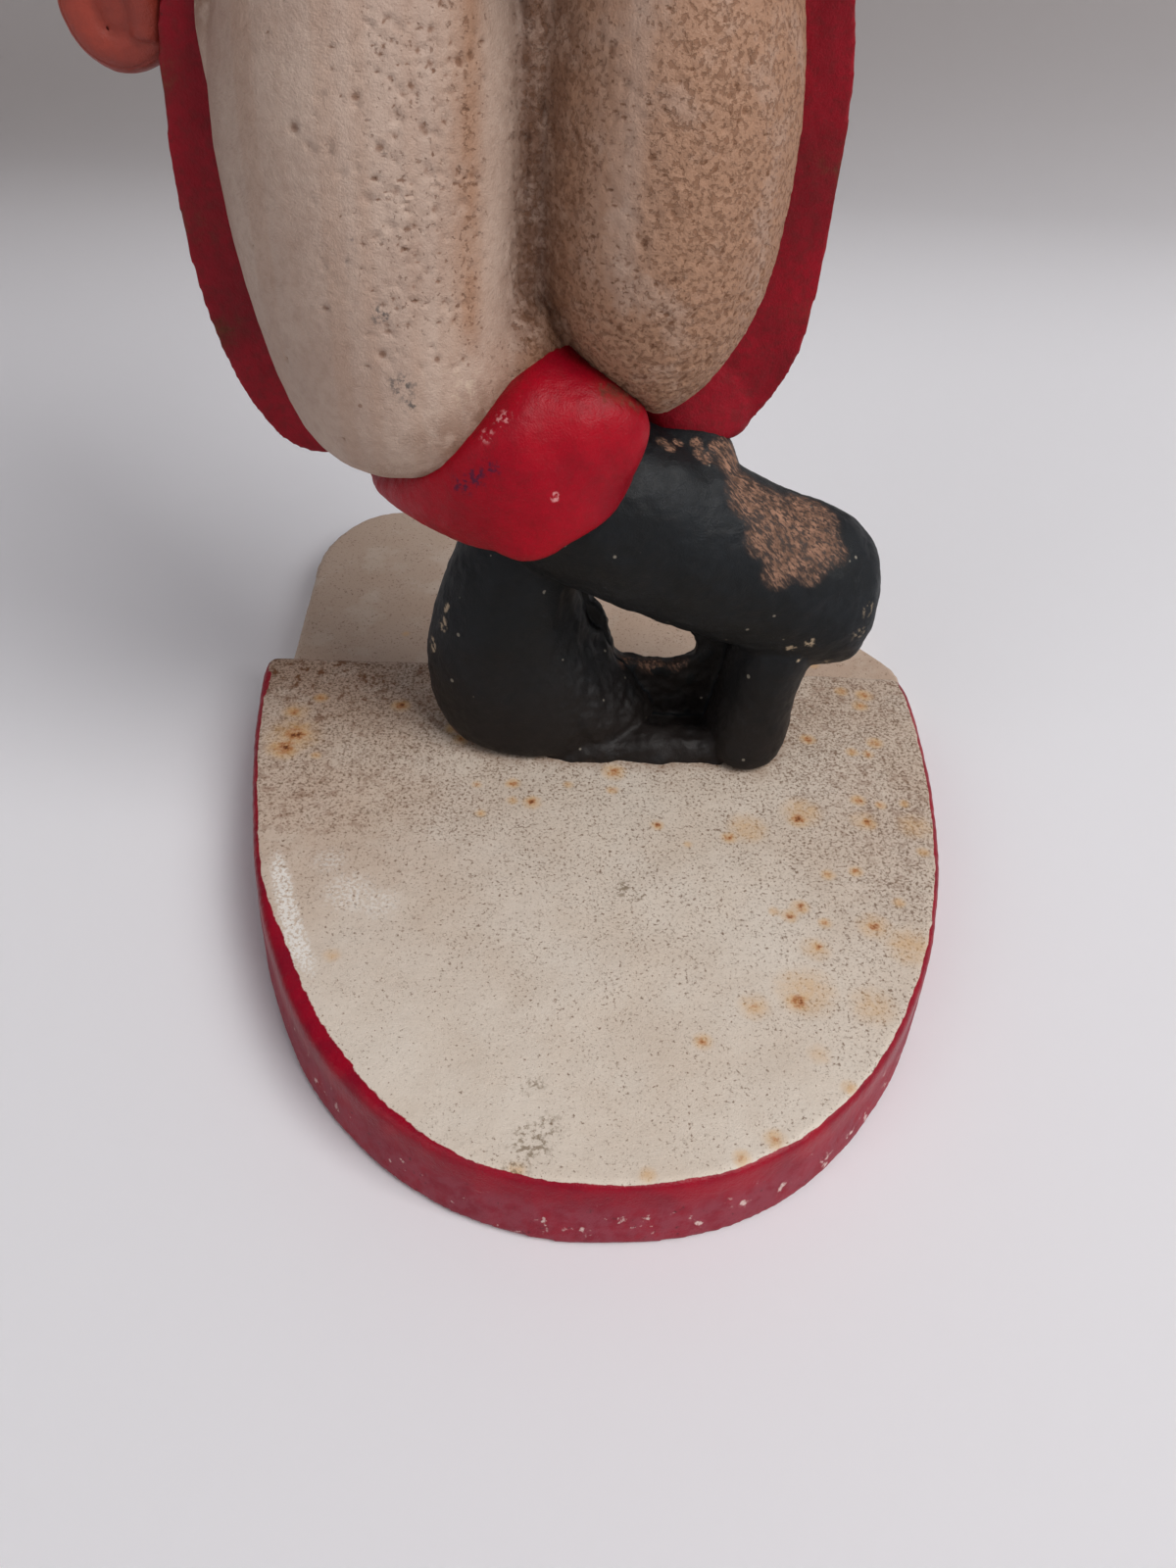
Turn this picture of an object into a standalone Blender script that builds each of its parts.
"""Painted cast-iron doorstop: a ranch hand with crossed ankles on a heavy two-level foot.

Metres, +Z up. The origin is on the floor in the middle of the foot, and the figure looks towards -Y.
The figure is drawn in its own frame: x from the groove between its legs, y from the plane in which its two
hollow half castings meet, z from the floor. Tables give sections of a form as shares of its named sizes.
"""

import math

import bmesh
import bpy
from mathutils import Matrix, Vector

for old in list(bpy.data.objects):
    bpy.data.objects.remove(old, do_unlink=True)

MM = 0.001
GAP = 0.3 * MM  # clearance between pieces that touch

# Foot: a D-shaped front slab and a lower plate behind it
SLAB_WIDTH = 130 * MM
SLAB_DEPTH = 114 * MM
SLAB_HEIGHT = 12 * MM
SLAB_DRAFT = 1.8 * MM  # how far the top edge lies inside the bottom edge
SLAB_FULLNESS = 2.2  # exponent of the outline: 2 is an ellipse, more is squarer
REAR_WIDTH = 125 * MM
REAR_LENGTH = 68 * MM
REAR_HEIGHT = 7 * MM
REAR_CORNER = 18 * MM
TONGUE_WIDTH = 74 * MM  # the rear plate's tongue, let into the slab from below
TONGUE_HEIGHT = 5 * MM
TONGUE_MARGIN = 4 * MM  # iron between the tongue and the counterbores under the boots

# Figure: where it stands, and its heights from the slab up
FIGURE_OFFSET = -17 * MM  # the groove between the legs, left of the middle of the foot
FIGURE_SETBACK = 16 * MM  # the parting plane, in front of the seam in the foot
LEG_LENGTH = 140 * MM  # slab to belt
TORSO_LENGTH = 67 * MM  # belt to shoulders
NECK_LENGTH = 14 * MM  # shoulders to chin
HEAD_HEIGHT = 36 * MM
CROWN_HEIGHT = 28 * MM  # hat brim to the top of the hat

# Figure: widths and depths
CROSSING_WIDTH = 45 * MM  # leg cover of the leg that crosses in front
STANDING_WIDTH = 36 * MM
COVER_DEPTH = 52 * MM
BORDER_THICKNESS = 5 * MM  # flat red border along each leg cover
BORDER_REACH = 47 * MM  # its edge on the crossing leg, from the groove
STANDING_BORDER_REACH = 43.6 * MM
HEM_WIDTH = 46 * MM  # red hem of the crossing leg
HEM_SWING = 0.2  # how far the hem's front swings to the standing side, a share of its depth
STRIDE = 45 * MM  # standing boot to the toe of the crossing boot
BOOT_WIDTH = 33 * MM
BOOT_DEPTH = 26 * MM
WEB_HEIGHT = 14 * MM  # iron left standing between the boots
WEB_THICKNESS = 6 * MM
LEDGE_HEIGHT = 1.5 * MM  # thin foot between the boots, on the slab
SHOULDER_WIDTH = 67 * MM
CHEST_DEPTH = 40 * MM
BELT_WIDTH = 8 * MM
ARM_WIDTH = 21 * MM
HAND_REACH = 50 * MM  # groove to the middle of the hanging hand
HAND_DROP = 35 * MM  # belt to its lowest point
ELBOW_REACH = 55 * MM
NECK_WIDTH = 18 * MM
HEAD_WIDTH = 24 * MM
HEAD_DEPTH = 27.5 * MM
BRIM_WIDTH = 60 * MM
BRIM_DEPTH = 66 * MM
BRIM_THICKNESS = 3 * MM
BRIM_CURL = 6 * MM
HAT_ROOM = 3.5 * MM  # how much wider than the head the hat is, on each side

# Castings and what holds them together
WALL = 6 * MM
BOSS_RADIUS = 7 * MM
SCREW_RADIUS = 2.1 * MM
HEAD_RADIUS = 4 * MM
HEAD_THICKNESS = 3 * MM
SLOT_WIDTH = 1 * MM
SLOT_DEPTH = 1.2 * MM
SHELL_SCREW_SINK = 7 * MM  # how deep a shell screw's seat lies below the back of the figure
SHELL_SCREW_BITE = 12 * MM  # length in the front shell
BOOT_SCREW_BITE = 16 * MM
WASHER_RADIUS = 5.5 * MM
WASHER_THICKNESS = 1 * MM
WASHER_SINK = 2 * MM  # floor to a boot screw's head
PIN_RADIUS = 2 * MM
PIN_LENGTH = 10 * MM
FOOT_SCREW_RADIUS = 2 * MM
FOOT_SCREW_HEAD = 3.8 * MM
FOOT_SCREW_COVER = 3 * MM  # iron over its tip
FOOT_SCREW_SPACING = 48 * MM

# Places that follow from the sizes
SEAM_Y = (SLAB_DEPTH - REAR_LENGTH) / 2
FIGURE_PLACE = Vector((FIGURE_OFFSET, SEAM_Y - FIGURE_SETBACK, 0))
BELT_Z = SLAB_HEIGHT + LEG_LENGTH
SHOULDER_Z = BELT_Z + TORSO_LENGTH
CHIN_Z = SHOULDER_Z + NECK_LENGTH
BRIM_Z = CHIN_Z + 0.7 * HEAD_HEIGHT
SOLE_Z = SLAB_HEIGHT + GAP
HAND_Z = BELT_Z - HAND_DROP
HAND_BACK = 0.38 * ARM_WIDTH  # puts the whole hand behind the parting plane
CROWN_WIDTH = HEAD_WIDTH + 2 * HAT_ROOM
BOOT_SCREW_Y = -BOOT_DEPTH / 4  # from the parting plane
TONGUE_LENGTH = FIGURE_SETBACK - BOOT_SCREW_Y - WASHER_RADIUS - GAP - TONGUE_MARGIN
TONGUE_MIDDLE = SEAM_Y - TONGUE_LENGTH / 2
FAR = 1.0  # half the side of the blocks that part the figure

UP = Vector((0, 0, 1))
BACK = Vector((0, 1, 0))
SIDES = 20
FINE_SIDES = 28
CREAM = (0.66, 0.55, 0.42)
STEEL = (0.35, 0.34, 0.33)


def new_object(name, bm):
    """An object of the scene from a bmesh, in triangles with its faces turned out."""
    bmesh.ops.triangulate(bm, faces=bm.faces)
    bmesh.ops.recalc_face_normals(bm, faces=bm.faces)
    mesh = bpy.data.meshes.new(name)
    bm.to_mesh(mesh)
    bm.free()
    obj = bpy.data.objects.new(name, mesh)
    bpy.context.scene.collection.objects.link(obj)
    return obj


def combine(obj, others, operation):
    """Booleans of obj with the others, baked into its mesh. The others are used up.

    The exact solver leaves slivers open where a hole crosses the parting faces, so the manifold one is used.
    """
    for other in others:
        step = obj.modifiers.new(operation.title(), "BOOLEAN")
        step.operation = operation
        step.solver = "MANIFOLD"
        step.object = other
    graph = bpy.context.evaluated_depsgraph_get()
    mesh = bpy.data.meshes.new_from_object(obj.evaluated_get(graph))
    obj.modifiers.clear()
    obj.data = mesh
    for other in others:
        bpy.data.objects.remove(other)
    return obj


def power(value, exponent):
    return math.copysign(abs(value) ** exponent, value)


def skin(name, rings):
    """A closed body through rings of equally many points."""
    bm = bmesh.new()
    loops = [[bm.verts.new(point) for point in ring] for ring in rings]
    count = len(loops[0])
    for low, high in zip(loops, loops[1:]):
        for k in range(count):
            after = (k + 1) % count
            bm.faces.new((low[k], low[after], high[after], high[k]))
    bm.faces.new(loops[0])
    bm.faces.new(loops[-1])
    return new_object(name, bm)


def oval(centre, across, deep, half_width, half_depth, sides, fullness=2.0):
    """Points of an oval ring that spans the unit vectors across and deep."""
    points = []
    for k in range(sides):
        turn = 2 * math.pi * (k + 0.5) / sides
        along = half_width * power(math.cos(turn), 2 / fullness)
        back = half_depth * power(math.sin(turn), 2 / fullness)
        points.append(centre + across * along + deep * back)
    return points


def form(name, table, scale, base, sides=SIDES, fullness=2.0, inset=0.0):
    """A cast form through oval sections.

    Each row is x, y, z, width, depth, lean, dip: shares of scale's across, length, width and depth, with y
    a share of depth, then the section's slope in degrees and how far its front hangs, a share of depth.
    """
    across_size, length, width, depth = scale
    rings = []
    for x, y, z, wide, thick, lean, dip in table:
        slope = math.radians(lean)
        across = Vector((math.cos(slope), 0, math.sin(slope)))
        deep = Vector((0, 1, 2 * dip / thick))
        centre = Vector((x * across_size, y * depth, base + z * length))
        rings.append(
            oval(centre, across, deep, wide * width / 2 - inset, thick * depth / 2 - inset, sides, fullness)
        )
    return skin(name, rings)


def limb(name, points, radii, sides=16):
    """A round limb along points, with its sections square to the way it runs."""
    rings = []
    for k, (point, radius) in enumerate(zip(points, radii)):
        run = (points[min(k + 1, len(points) - 1)] - points[max(k - 1, 0)]).normalized()
        across = run.cross(Vector((0, 1, 0))).normalized()
        rings.append(oval(point, across, across.cross(run), radius, radius, sides))
    return skin(name, rings)


def block(name, low, high):
    """A box between two corners."""
    ring = [(low[0], low[1]), (high[0], low[1]), (high[0], high[1]), (low[0], high[1])]
    return skin(name, [[Vector((x, y, z)) for x, y in ring] for z in (low[2], high[2])])


def turned(name, place, run, profile, sides=16):
    """A turned body: profile is (distance along run, radius) from place."""
    across = run.orthogonal().normalized()
    deep = run.cross(across)
    return skin(name, [oval(place + run * far, across, deep, r, r, sides) for far, r in profile])


def slotted_screw(name, place, run, length):
    """A cheese-head screw whose seat is at place and whose shank runs along run."""
    profile = [
        (-HEAD_THICKNESS, HEAD_RADIUS - SLOT_WIDTH / 2),
        (-HEAD_THICKNESS + SLOT_WIDTH / 2, HEAD_RADIUS),
        (0, HEAD_RADIUS),
        (0, SCREW_RADIUS),
        (length, SCREW_RADIUS),
    ]
    screw = turned(name, place, run, profile)
    top = place - run * HEAD_THICKNESS
    half = Vector(SLOT_DEPTH if abs(part) > 0.5 else SLOT_WIDTH / 2 for part in run)
    half.x = 2 * HEAD_RADIUS
    slot = block("slot", top - half, top + half)
    return combine(screw, [slot], "DIFFERENCE")


# Foot castings

def slab_ring(inset, z, steps=40):
    """The slab's outline at height z: a half superellipse in front of the straight back edge."""
    points = []
    for k in range(steps + 1):
        turn = math.pi * k / steps
        x = (SLAB_WIDTH / 2 - inset) * power(math.cos(turn), 2 / SLAB_FULLNESS)
        y = (SLAB_DEPTH - inset) * power(math.sin(turn), 2 / SLAB_FULLNESS)
        points.append(Vector((x, SEAM_Y - y, z)))
    return points


def rear_ring(z, steps=7):
    """The rear plate's outline at height z, with round corners at the back."""
    half = REAR_WIDTH / 2
    front, back = SEAM_Y + GAP, SEAM_Y + REAR_LENGTH
    points = [Vector((-half, front, z)), Vector((half, front, z))]
    for side, start in ((1, 0), (-1, math.pi / 2)):
        for k in range(steps + 1):
            turn = start + math.pi / 2 * k / steps
            x = side * (half - REAR_CORNER) + REAR_CORNER * math.cos(turn)
            points.append(Vector((x, back - REAR_CORNER + REAR_CORNER * math.sin(turn), z)))
    return points


def tongue_block(name, room):
    """The tongue under the slab, or with room round it the recess that takes it."""
    half = TONGUE_WIDTH / 2 + room
    return block(
        name,
        (-half, SEAM_Y - TONGUE_LENGTH - room, -room),
        (half, SEAM_Y + 3 * GAP, TONGUE_HEIGHT + room),
    )


FOOT_SCREWS = [
    ("foot_screw_left", Vector((-FOOT_SCREW_SPACING / 2, TONGUE_MIDDLE, 0))),
    ("foot_screw_right", Vector((FOOT_SCREW_SPACING / 2, TONGUE_MIDDLE, 0))),
]
FOOT_SCREW_TIP = SLAB_HEIGHT - FOOT_SCREW_COVER
FOOT_SCREW_SLOPE = FOOT_SCREW_HEAD - FOOT_SCREW_RADIUS  # a right-angled countersink

# In the figure's frame, under the middle of the standing boot and of the crossing boot's toe
BOOT_SCREWS = [
    ("standing", Vector((0.02 * STRIDE, BOOT_SCREW_Y, 0))),
    ("crossing", Vector((1.03 * STRIDE, BOOT_SCREW_Y, 0))),
]
BOOT_SCREW_SEAT = WASHER_SINK + HEAD_THICKNESS + WASHER_THICKNESS + 2 * GAP

slab = skin("base_slab", [slab_ring(0, 0), slab_ring(SLAB_DRAFT, SLAB_HEIGHT)])
cuts = [tongue_block("recess", GAP)]
for _, place in FOOT_SCREWS:
    hole = [(0, FOOT_SCREW_RADIUS + GAP), (FOOT_SCREW_TIP + GAP, FOOT_SCREW_RADIUS + GAP)]
    cuts.append(turned("tapped_hole", place, UP, hole))
for _, place in BOOT_SCREWS:
    below = FIGURE_PLACE + place - UP * GAP
    seat = BOOT_SCREW_SEAT + GAP
    stepped = [
        (0, WASHER_RADIUS + GAP),
        (seat, WASHER_RADIUS + GAP),
        (seat, SCREW_RADIUS + GAP),
        (SLAB_HEIGHT + 2 * GAP, SCREW_RADIUS + GAP),
    ]
    cuts.append(turned("counterbore", below, UP, stepped))
combine(slab, cuts, "DIFFERENCE")

rear = skin("rear_foot", [rear_ring(0), rear_ring(REAR_HEIGHT)])
tongue = tongue_block("tongue", 0)
combine(rear, [tongue], "UNION")
cuts = []
for _, place in FOOT_SCREWS:
    sunk = [
        (-GAP, FOOT_SCREW_HEAD + 2 * GAP),
        (FOOT_SCREW_SLOPE, FOOT_SCREW_RADIUS + GAP),
        (TONGUE_HEIGHT + GAP, FOOT_SCREW_RADIUS + GAP),
    ]
    cuts.append(turned("countersink", place, UP, sunk))
combine(rear, cuts, "DIFFERENCE")

foot_screws = []
for name, place in FOOT_SCREWS:
    profile = [
        (GAP, FOOT_SCREW_HEAD - GAP),
        (FOOT_SCREW_SLOPE, FOOT_SCREW_RADIUS),
        (FOOT_SCREW_TIP, FOOT_SCREW_RADIUS),
    ]
    foot_screws.append(turned(name, place, UP, profile))

# The figure's forms

LEG_ROWS_CROSSING = [
    (-0.29, 0.0, 1.0, 0.58, 0.66, 0, 0),
    (-0.41, 0.0, 0.9, 0.89, 0.83, 0, 0),
    (-0.45, -0.02, 0.786, 1.034, 0.96, 0, 0),
    (-0.44, -0.02, 0.643, 1.022, 1.0, 0, 0),
    (-0.385, -0.03, 0.543, 0.96, 0.99, 6, 0),
    (-0.315, -0.04, 0.457, 0.9, 0.95, 14, 0),
    (-0.17, -0.03, 0.424, 0.62, 0.7, 22, 0),
]
LEG_ROWS_STANDING = [
    (0.36, 0.0, 1.0, 0.72, 0.66, 0, 0),
    (0.486, 0.0, 0.9, 0.94, 0.83, 0, 0),
    (0.52, -0.01, 0.786, 1.04, 0.93, 0, 0),
    (0.52, -0.01, 0.657, 1.04, 0.96, 0, 0),
    (0.525, -0.01, 0.571, 0.97, 0.92, 0, 0),
    (0.555, -0.01, 0.5, 0.72, 0.8, 0, 0),
    (0.57, -0.01, 0.45, 0.39, 0.56, 0, 0),
    (0.57, -0.01, 0.43, 0.17, 0.26, 0, 0),
]
HEM_ROWS = [
    (-0.19, -0.04, 0.468, 0.86, 0.98, 44, 0),
    (-0.1, -0.045, 0.434, 0.9, 0.98, 29, 0.04),
    (-0.012, -0.045, 0.4, 0.85, 0.96, 14, 0.08),
]
# A border is given by its height, its outer edge and its inner edge, shares of its reach
BORDER_ROWS_CROSSING = [
    (0.986, 0.61, 0.1),
    (0.914, 0.86, 0.1),
    (0.814, 0.98, 0.1),
    (0.7, 1.0, 0.1),
    (0.604, 0.993, 0.1),
    (0.543, 0.966, 0.1),
    (0.46, 0.895, 0.12),
    (0.404, 0.79, 0.2),
    (0.38, 0.69, 0.3),
    (0.372, 0.56, 0.4),
]
BORDER_ROWS_STANDING = [
    (0.986, 0.63, 0.1),
    (0.914, 0.875, 0.1),
    (0.814, 0.99, 0.1),
    (0.636, 1.0, 0.1),
    (0.559, 0.988, 0.1),
    (0.521, 0.968, 0.12),
    (0.475, 0.904, 0.2),
    (0.432, 0.79, 0.32),
    (0.41, 0.66, 0.52),
]
BOOT_ROWS_CROSSING = [
    (0.04, -0.24, 0.39, 0.86, 1.1, 50, 0),
    (0.36, -0.25, 0.348, 0.97, 1.06, 58, 0),
    (0.64, -0.22, 0.307, 0.98, 1.0, 62, 0),
    (0.91, -0.19, 0.266, 0.95, 0.96, 68, 0),
    (1.14, -0.16, 0.23, 0.92, 0.92, 76, 0),
    (1.29, -0.15, 0.214, 0.8, 0.8, 82, 0),
    (1.4, -0.15, 0.206, 0.5, 0.5, 86, 0),
]
TOE_ROWS = [
    (1.12, -0.19, 0.22, 0.62, 0.8, 0, 0),
    (1.08, -0.19, 0.12, 0.42, 0.72, 0, 0),
    (1.05, -0.2, 0.06, 0.42, 0.74, 0, 0),
    (1.03, -0.21, 0.022, 0.45, 0.76, 0, 0),
    (1.03, -0.21, 0.0, 0.4, 0.68, 0, 0),
]
BOOT_ROWS_STANDING = [
    (0.24, 0.1, 0.45, 0.72, 0.9, 0, 0),
    (0.05, 0.0, 0.286, 0.7, 0.9, 0, 0),
    (0.0, -0.03, 0.214, 0.74, 0.94, 0, 0),
    (-0.02, -0.04, 0.143, 0.88, 0.98, 0, 0),
    (-0.03, -0.04, 0.075, 0.92, 1.0, 0, 0),
    (-0.01, -0.04, 0.022, 0.84, 0.97, 0, 0),
    (0.0, -0.04, 0.0, 0.72, 0.88, 0, 0),
]
# The web's outline in the parting plane: across, a share of the stride, and up, a share of its height
WEB_OUTLINE = [
    (0.1, 0.0),
    (1.05, 0.0),
    (1.05, 2.1),
    (0.69, 2.1),
    (0.7, 1.6),
    (0.73, 1.4),
    (0.76, 1.24),
    (0.7, 0.97),
    (0.48, 1.0),
    (0.41, 1.3),
    (0.34, 1.7),
    (0.31, 2.0),
    (0.3, 2.4),
    (0.1, 2.4),
]
TORSO_ROWS = [
    (0, 0.0, -0.24, 0.78, 0.95, 0, 0),
    (0, 0.0, 0.0, 0.79, 0.93, 0, 0),
    (0, 0.0, 0.12, 0.73, 0.83, 0, 0),
    (0, -0.01, 0.34, 0.79, 0.9, 0, 0),
    (0, -0.02, 0.64, 0.93, 1.0, 0, 0),
    (0, -0.01, 0.87, 1.0, 0.9, 0, 0),
    (0, 0.0, 1.0, 0.9, 0.72, 0, 0),
    (0, 0.0, 1.1, 0.54, 0.57, 0, 0),
    (0, 0.0, 1.18, 0.28, 0.48, 0, 0),
]
HEAD_ROWS = [
    (0, -0.27, 0.0, 0.38, 0.3, 0, 0),
    (0, -0.16, 0.08, 0.63, 0.58, 0, 0),
    (0, -0.07, 0.22, 0.85, 0.84, 0, 0),
    (0, -0.035, 0.39, 0.97, 0.96, 0, 0),
    (0, -0.02, 0.56, 1.0, 1.0, 0, 0),
    (0, 0.0, 0.78, 0.97, 0.97, 0, 0),
]
CROWN_ROWS = [
    (0, 0.0, 0.0, 1.0, 1.14, 0, 0),
    (0, 0.0, 0.45, 0.96, 1.1, 0, 0),
    (0, 0.0, 0.8, 0.88, 1.03, 0, 0),
    (0, 0.0, 0.96, 0.72, 0.88, 0, 0),
    (0, 0.0, 1.0, 0.5, 0.7, 0, 0),
    (0, 0.0, 0.86, 0.2, 0.45, 0, 0),
]
SCARF_ROWS = [
    (0, -0.02, 0.0, 0.5, 0.68, 0, 0.06),
    (0, -0.02, 0.5, 0.46, 0.66, 0, 0.05),
    (0, -0.02, 1.0, 0.32, 0.52, 0, 0.03),
]

leg_scale_crossing = (CROSSING_WIDTH, LEG_LENGTH, CROSSING_WIDTH, COVER_DEPTH)
leg_scale_standing = (STANDING_WIDTH, LEG_LENGTH, STANDING_WIDTH, COVER_DEPTH)
boot_scale = (STRIDE, LEG_LENGTH, BOOT_WIDTH, BOOT_DEPTH)
torso_scale = (SHOULDER_WIDTH, TORSO_LENGTH, SHOULDER_WIDTH, CHEST_DEPTH)
head_scale = (HEAD_WIDTH, HEAD_HEIGHT, HEAD_WIDTH, HEAD_DEPTH)
crown_scale = (CROWN_WIDTH, CROWN_HEIGHT, CROWN_WIDTH, CROWN_WIDTH)


def border(name, rows, reach, side):
    """The flat border of a leg cover: a plate in the frontal plane, rounded off towards its bottom."""
    rings = []
    for z, outer, inner in rows:
        height = SLAB_HEIGHT + z * LEG_LENGTH
        ring = [(inner, -1), (outer, -1), (outer, 1), (inner, 1)]
        rings.append([Vector((side * reach * x, y * BORDER_THICKNESS / 2, height)) for x, y in ring])
    return skin(name, rings)


def web():
    """The plate of iron between the boots, with the gap over it."""
    rings = []
    for y in (-WEB_THICKNESS / 2, WEB_THICKNESS / 2):
        rings.append([Vector((x * STRIDE, y, SOLE_Z + z * WEB_HEIGHT)) for x, z in WEB_OUTLINE])
    return skin("web", rings)


def hem():
    """The hem of the crossing leg's cover, with its front swung to the standing side."""
    cuff = form("hem", HEM_ROWS, (HEM_WIDTH, LEG_LENGTH, HEM_WIDTH, COVER_DEPTH), SLAB_HEIGHT, FINE_SIDES)
    swing = Matrix.Identity(4)
    swing[0][1] = -HEM_SWING
    cuff.data.transform(swing)
    return cuff


def brim():
    """The hat's brim, curled up at its sides."""
    rings = []
    for share, lift in ((0.3, 0), (1.0, 0), (1.0, BRIM_THICKNESS), (0.3, BRIM_THICKNESS)):
        half_width, half_depth = share * BRIM_WIDTH / 2, share * BRIM_DEPTH / 2
        flat = oval(Vector((0, 0, 0)), Vector((1, 0, 0)), BACK, half_width, half_depth, FINE_SIDES)
        for point in flat:
            point.z = BRIM_Z + lift + BRIM_CURL * (2 * point.x / BRIM_WIDTH) ** 2 * share
        rings.append(flat)
    return skin("brim", rings)


def shoulder_points(side):
    """Where an arm grows out of the torso, and the top of its curve. side is -1 or 1."""
    height = SHOULDER_Z - ARM_WIDTH / 2
    root = Vector((side * 0.3 * SHOULDER_WIDTH, 0, height - 0.1 * ARM_WIDTH))
    cap = Vector((side * 0.45 * SHOULDER_WIDTH, 0, height))
    return root, cap


def hanging_arm():
    """The arm on the crossing side, with the hand behind the border of the leg cover."""
    root, cap = shoulder_points(-1)
    wrist = Vector((-HAND_REACH, HAND_BACK, HAND_Z + 1.1 * ARM_WIDTH))
    drop = wrist - cap
    # Shares of the way across and of the way down, and of the arm's width
    course = [
        (0.42, 0.12, 1.1),
        (0.8, 0.33, 1.0),
        (1.05, 0.54, 0.93),
        (1.1, 0.74, 0.87),
        (1.04, 0.92, 0.8),
        (1.0, 1.02, 0.76),
    ]
    points, radii = [root, cap], [0.85 * ARM_WIDTH / 2, 1.05 * ARM_WIDTH / 2]
    for x, z, share in course:
        points.append(Vector((cap.x + drop.x * x, drop.y * z, cap.z + drop.z * z)))
        radii.append(share * ARM_WIDTH / 2)
    rows = [
        (0, 0.0, 1.15, 0.62, 0.62, 0, 0),
        (0, 0.0, 0.75, 0.84, 0.68, 0, 0),
        (0, 0.0, 0.35, 0.9, 0.7, 0, 0),
        (0, 0.0, 0.1, 0.74, 0.58, 0, 0),
        (0, 0.0, 0.0, 0.38, 0.34, 0, 0),
    ]
    palm = form("palm", rows, (ARM_WIDTH, ARM_WIDTH, ARM_WIDTH, ARM_WIDTH), HAND_Z, 14)
    palm.data.transform(Matrix.Translation((-HAND_REACH, HAND_BACK, 0)))
    return [limb("sleeve", points, radii), palm]


def bent_arm():
    """The arm on the standing side, with its hand at the belt."""
    root, cap = shoulder_points(1)
    elbow = Vector((ELBOW_REACH, 0.1 * CHEST_DEPTH, BELT_Z + 0.38 * TORSO_LENGTH))
    wrist = Vector((0.54 * SHOULDER_WIDTH, -0.4 * CHEST_DEPTH, BELT_Z + 0.1 * TORSO_LENGTH))
    knuckles = Vector((0.3 * SHOULDER_WIDTH, -0.52 * CHEST_DEPTH, BELT_Z))
    bulge = Vector((0.12 * ARM_WIDTH, 0, 0.1 * ARM_WIDTH))
    upper = [root, cap, cap.lerp(elbow, 0.3) + bulge] + [cap.lerp(elbow, share) for share in (0.7, 1.0, 1.15)]
    lower = [elbow.lerp(wrist, share) for share in (-0.25, 0.05, 0.5, 1.0)]
    fist = [wrist.lerp(knuckles, share) for share in (-0.2, 0.3, 0.8, 1.05)]
    half = ARM_WIDTH / 2
    return [
        limb("upper_arm", upper, [half * r for r in (0.85, 1.05, 1.1, 1.0, 0.92, 0.6)]),
        limb("forearm", lower, [half * r for r in (0.62, 0.91, 0.87, 0.77)]),
        limb("fist", fist, [half * r for r in (0.6, 0.74, 0.73, 0.45)], 14),
    ]


def figure_forms():
    """Every form of the figure, as closed bodies that run into one another."""
    ledge_low = Vector((0.1 * STRIDE, -0.46 * BOOT_DEPTH, SOLE_Z))
    ledge_high = Vector((1.05 * STRIDE, WEB_THICKNESS / 2, SOLE_Z + LEDGE_HEIGHT))
    belt_rows = [(0, 0.0, z, 0.83, 0.97, 0, 0) for z in (-1.0, 0.0)]
    belt_scale = (SHOULDER_WIDTH, BELT_WIDTH, SHOULDER_WIDTH, CHEST_DEPTH)
    scarf_scale = (SHOULDER_WIDTH, NECK_LENGTH, SHOULDER_WIDTH, CHEST_DEPTH)
    nose = [
        Vector((0, -0.5 * HEAD_DEPTH, CHIN_Z + 0.56 * HEAD_HEIGHT)),
        Vector((0, -0.55 * HEAD_DEPTH, CHIN_Z + 0.4 * HEAD_HEIGHT)),
        Vector((0, -0.5 * HEAD_DEPTH, CHIN_Z + 0.32 * HEAD_HEIGHT)),
    ]
    neck = [Vector((0, 0, z)) for z in (SHOULDER_Z, CHIN_Z, CHIN_Z + 0.4 * HEAD_HEIGHT)]
    return [
        form("torso", TORSO_ROWS, torso_scale, BELT_Z, FINE_SIDES, 2.3),
        form("crossing_leg", LEG_ROWS_CROSSING, leg_scale_crossing, SLAB_HEIGHT, FINE_SIDES),
        form("standing_leg", LEG_ROWS_STANDING, leg_scale_standing, SLAB_HEIGHT, FINE_SIDES),
        border("crossing_border", BORDER_ROWS_CROSSING, BORDER_REACH, -1),
        border("standing_border", BORDER_ROWS_STANDING, STANDING_BORDER_REACH, 1),
        hem(),
        form("crossing_boot", BOOT_ROWS_CROSSING, boot_scale, SLAB_HEIGHT),
        form("toe", TOE_ROWS, boot_scale, SOLE_Z),
        form("standing_boot", BOOT_ROWS_STANDING, boot_scale, SOLE_Z),
        web(),
        block("ledge", ledge_low, ledge_high),
        form("belt", belt_rows, belt_scale, BELT_Z, FINE_SIDES, 2.3),
        form("scarf", SCARF_ROWS, scarf_scale, SHOULDER_Z, SIDES),
        limb("neck", neck, [NECK_WIDTH / 2] * len(neck)),
        form("head", HEAD_ROWS, head_scale, CHIN_Z),
        limb("nose", nose, [0.04 * HEAD_WIDTH, 0.13 * HEAD_WIDTH, 0.06 * HEAD_WIDTH], 8),
        brim(),
        form("crown", CROWN_ROWS, crown_scale, BRIM_Z),
        *hanging_arm(),
        *bent_arm(),
    ]


forms = figure_forms()
figure = combine(forms[0], forms[1:], "UNION")

# The hollow inside, with the screw bosses left standing in it

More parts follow.
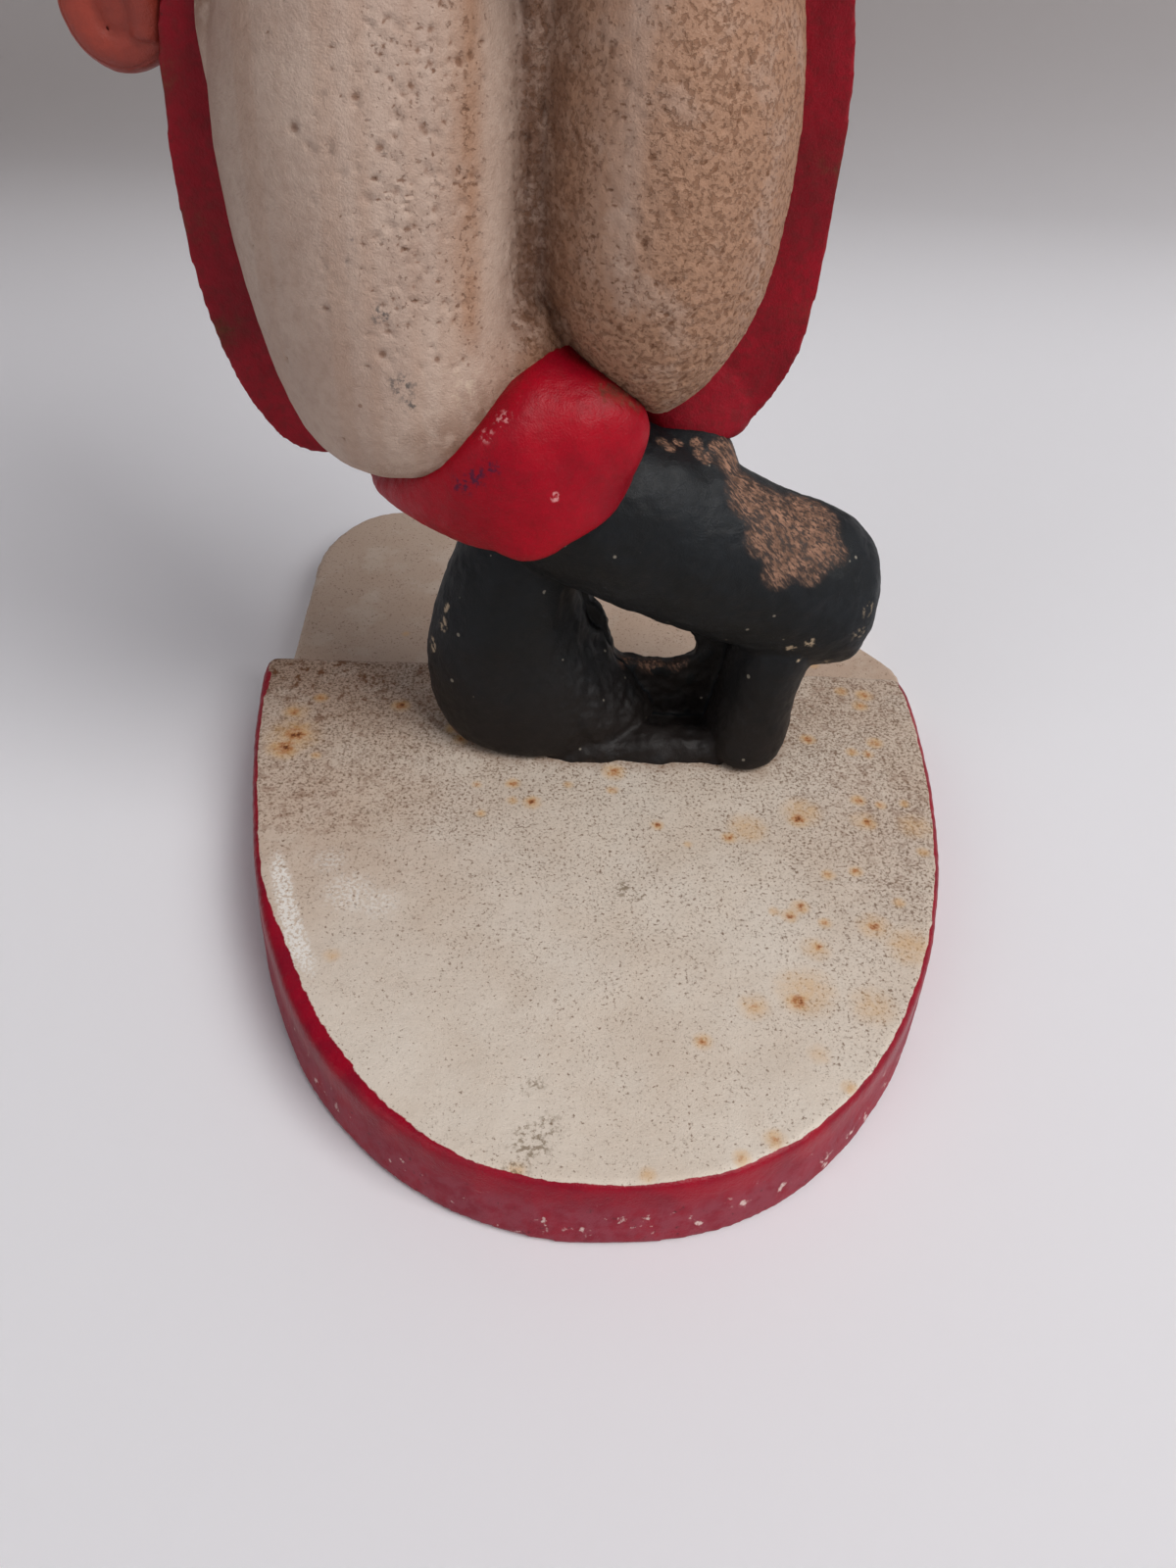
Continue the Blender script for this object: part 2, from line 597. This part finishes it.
CAVITY_LEG_ROWS = slice(1, 6)
CAVITY_TORSO_ROWS = slice(2, 6)
BOSSES = [
    # name, x and z in the figure, half the depth of the figure there
    ("chest", 0.0, BELT_Z + 0.64 * TORSO_LENGTH, CHEST_DEPTH / 2),
    ("crossing_leg", -0.45 * CROSSING_WIDTH, SLAB_HEIGHT + 0.72 * LEG_LENGTH, COVER_DEPTH / 2),
    ("standing_leg", 0.52 * STANDING_WIDTH, SLAB_HEIGHT + 0.72 * LEG_LENGTH, 0.95 * COVER_DEPTH / 2),
]

cavities = [
    form("cavity", TORSO_ROWS[CAVITY_TORSO_ROWS], torso_scale, BELT_Z, SIDES, 2.3, WALL),
    form("cavity", LEG_ROWS_CROSSING[CAVITY_LEG_ROWS], leg_scale_crossing, SLAB_HEIGHT, SIDES, 2.0, WALL),
    form("cavity", LEG_ROWS_STANDING[CAVITY_LEG_ROWS], leg_scale_standing, SLAB_HEIGHT, SIDES, 2.0, WALL),
]
cavity = combine(cavities[0], cavities[1:], "UNION")
bosses = []
for _, x, z, half_depth in BOSSES:
    column = [(-half_depth, BOSS_RADIUS), (half_depth, BOSS_RADIUS)]
    bosses.append(turned("boss", Vector((x, 0, z)), BACK, column))
combine(cavity, bosses, "DIFFERENCE")
combine(figure, [cavity], "DIFFERENCE")

PINS = [
    ("collar", Vector((0, 0, SHOULDER_Z + 0.05 * TORSO_LENGTH))),
    ("boot", Vector((0.02 * STRIDE, 0, SLAB_HEIGHT + 0.23 * LEG_LENGTH))),
]


def half_figure(name, side):
    """One half casting, cut back from the parting plane by half a gap. side is -1 in front, 1 behind."""
    half = bpy.data.objects.new(name, figure.data.copy())
    bpy.context.scene.collection.objects.link(half)
    low, high = sorted((side * GAP / 2, side * FAR))
    keep = block("keep", (-FAR, low, -FAR), (FAR, high, FAR))
    return combine(half, [keep], "INTERSECT")


front = half_figure("front_shell", -1)
back = half_figure("back_shell", 1)
bpy.data.objects.remove(figure)

front_cuts, back_cuts, fasteners = [], [], []
for name, x, z, half_depth in BOSSES:
    seat = Vector((x, half_depth - SHELL_SCREW_SINK, z))
    reach = seat.y + SHELL_SCREW_BITE
    drill = [(-GAP, SCREW_RADIUS + GAP), (reach + GAP, SCREW_RADIUS + GAP)]
    front_cuts.append(turned("tapped_hole", seat, -BACK, drill))
    stepped = [
        (-2 * SHELL_SCREW_SINK, HEAD_RADIUS + GAP),
        (GAP, HEAD_RADIUS + GAP),
        (GAP, SCREW_RADIUS + GAP),
        (reach, SCREW_RADIUS + GAP),
    ]
    back_cuts.append(turned("counterbore", seat, -BACK, stepped))
    fasteners.append(slotted_screw("shell_screw_" + name, seat, -BACK, reach))
for name, place in PINS:
    hole = [(-PIN_LENGTH / 2 - GAP, PIN_RADIUS + GAP), (PIN_LENGTH / 2 + GAP, PIN_RADIUS + GAP)]
    front_cuts.append(turned("pin_hole", place, BACK, hole))
    back_cuts.append(turned("pin_hole", place, BACK, hole))
    pin = [(-PIN_LENGTH / 2, PIN_RADIUS), (PIN_LENGTH / 2, PIN_RADIUS)]
    fasteners.append(turned("locating_pin_" + name, place, BACK, pin))
for name, place in BOOT_SCREWS:
    hole_top = SOLE_Z + BOOT_SCREW_BITE + GAP
    hole = [(SLAB_HEIGHT, SCREW_RADIUS + GAP), (hole_top, SCREW_RADIUS + GAP)]
    front_cuts.append(turned("tapped_hole", place, UP, hole))
    seat = place + UP * (WASHER_SINK + HEAD_THICKNESS)
    length = SOLE_Z + BOOT_SCREW_BITE - seat.z
    fasteners.append(slotted_screw("boot_screw_" + name, seat, UP, length))
    ring = [(GAP, WASHER_RADIUS), (GAP + WASHER_THICKNESS, WASHER_RADIUS)]
    washer = turned("boot_washer_" + name, seat, UP, ring, FINE_SIDES)
    bore = [(0, SCREW_RADIUS + GAP), (WASHER_THICKNESS + 2 * GAP, SCREW_RADIUS + GAP)]
    fasteners.append(combine(washer, [turned("bore", seat, UP, bore)], "DIFFERENCE"))
combine(front, front_cuts, "DIFFERENCE")
combine(back, back_cuts, "DIFFERENCE")

# Materials, and the figure set on its foot


def finish(obj, colour, roughness, metallic):
    """A material of the piece's own, and smooth shading with its sharp edges kept."""
    material = bpy.data.materials.new(obj.name)
    material.use_nodes = True
    shader = material.node_tree.nodes["Principled BSDF"]
    shader.inputs["Base Color"].default_value = (*colour, 1)
    shader.inputs["Roughness"].default_value = roughness
    shader.inputs["Metallic"].default_value = metallic
    obj.data.materials.clear()
    obj.data.materials.append(material)
    obj.data.shade_smooth()
    obj.data.set_sharp_from_angle(angle=math.radians(35))


figure_origin = bpy.data.objects.new("figure_origin", None)
figure_origin.location = FIGURE_PLACE
bpy.context.scene.collection.objects.link(figure_origin)
for obj in [front, back, *fasteners]:
    obj.parent = figure_origin
for obj in (slab, rear, front, back):
    finish(obj, CREAM, 0.55, 0.0)
for obj in [*foot_screws, *fasteners]:
    finish(obj, STEEL, 0.4, 1.0)
